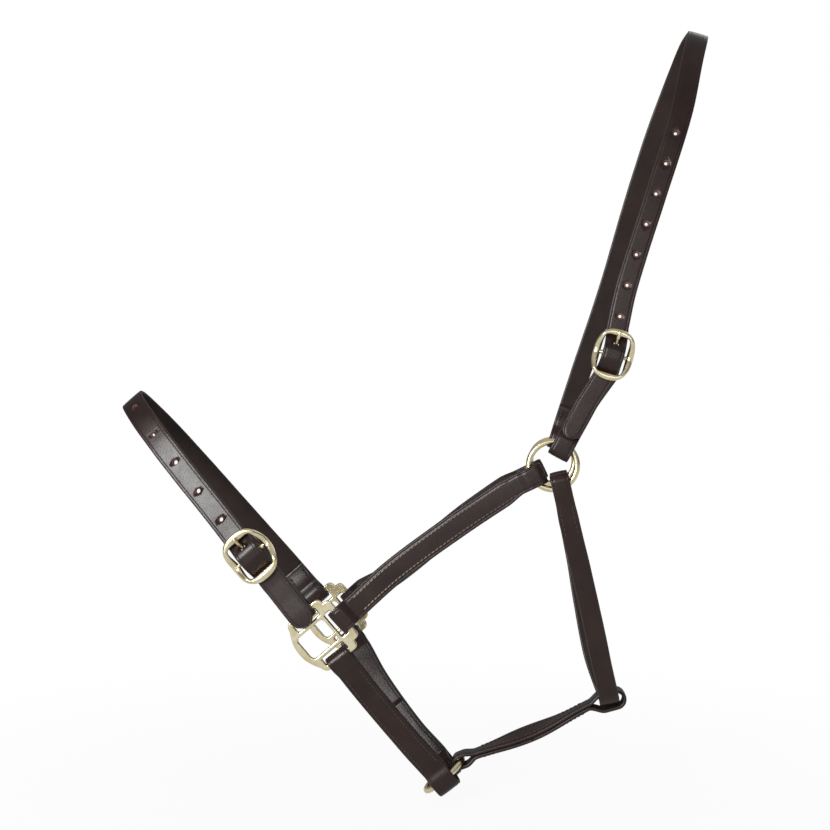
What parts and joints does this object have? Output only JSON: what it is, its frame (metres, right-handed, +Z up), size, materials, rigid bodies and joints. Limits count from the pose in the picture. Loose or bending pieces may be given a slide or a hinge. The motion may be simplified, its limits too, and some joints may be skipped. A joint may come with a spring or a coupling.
{
  "type": "leather headcollar",
  "caption": "Leather headcollar in its worn shape: buckled headpiece, cheeks, buckled noseband, jowl and throat straps, joined by brass rings and squares.",
  "frame": {"origin": "inner face of the crown strap, where it lies over the horse's poll", "axes": "+Z up, -X towards the muzzle, -Y the near (left) side, where both buckles are"},
  "size_m": [0.4491, 0.1309, 0.5833],
  "materials": {
    "strap_leather": "satin bridle leather, dark havana brown",
    "brass_fittings": "polished cast brass"
  },
  "bodies": {
    "headpiece": {"headpiece_strap": "strap_leather", "headpiece_chape": "strap_leather"},
    "headpiece_buckle": {"headpiece_buckle_frame": "brass_fittings"},
    "headpiece_tongue": {"headpiece_buckle_tongue": "brass_fittings"},
    "near_ring": {"near_cheek_ring": "brass_fittings"},
    "far_ring": {"far_cheek_ring": "brass_fittings"},
    "lower_headcollar": {"near_cheek_strap": "strap_leather", "far_cheek_strap": "strap_leather", "near_square": "brass_fittings", "far_square": "brass_fittings", "noseband_strap": "strap_leather", "noseband_chape": "strap_leather", "near_rear_noseband": "strap_leather", "far_rear_noseband": "strap_leather", "jowl_strap": "strap_leather", "throat_strap": "strap_leather"},
    "noseband_buckle": {"noseband_buckle_frame": "brass_fittings"},
    "noseband_tongue": {"noseband_buckle_tongue": "brass_fittings"},
    "chin_ring": {"chin_ring": "brass_fittings"}
  },
  "joints": [
    {"name": "lower_swing", "type": "hinge", "parent": "headpiece", "child": "lower_headcollar", "pos_m": [-0.1096, -0.056, -0.3203], "axis": [0.0294, 0.9989, -0.0375], "range_deg": [-30, 45]},
    {"name": "near_ring_spin", "type": "hinge", "parent": "headpiece", "child": "near_ring", "pos_m": [-0.1096, -0.056, -0.3203], "axis": [0.0294, 0.9989, -0.0375], "continuous": true},
    {"name": "far_ring_spin", "type": "hinge", "parent": "headpiece", "child": "far_ring", "pos_m": [-0.1063, 0.056, -0.3245], "axis": [0.0294, 0.9989, -0.0375], "continuous": true},
    {"name": "chin_ring_spin", "type": "hinge", "parent": "lower_headcollar", "child": "chin_ring", "pos_m": [-0.191, 0, -0.564], "axis": [0.6561, 0, -0.7547], "continuous": true},
    {"name": "headpiece_buckle_rock", "type": "hinge", "parent": "headpiece", "child": "headpiece_buckle", "pos_m": [-0.0663, -0.0573, -0.23942], "axis": [0.9605, -0.0386, -0.2754], "range_deg": [-2, 2]},
    {"name": "headpiece_tongue_lift", "type": "hinge", "parent": "headpiece_buckle", "child": "headpiece_tongue", "pos_m": [-0.0663, -0.0573, -0.23942], "axis": [0.9605, -0.0386, -0.2754], "range_deg": [0, 3]},
    {"name": "noseband_buckle_rock", "type": "hinge", "parent": "lower_headcollar", "child": "noseband_buckle", "pos_m": [-0.33345, -0.04905, -0.3886], "axis": [0.7547, 0, 0.6561], "range_deg": [-2, 2]},
    {"name": "noseband_tongue_lift", "type": "hinge", "parent": "noseband_buckle", "child": "noseband_tongue", "pos_m": [-0.33345, -0.04905, -0.3886], "axis": [0.7547, 0, 0.6561], "range_deg": [0, 3]}
  ]
}
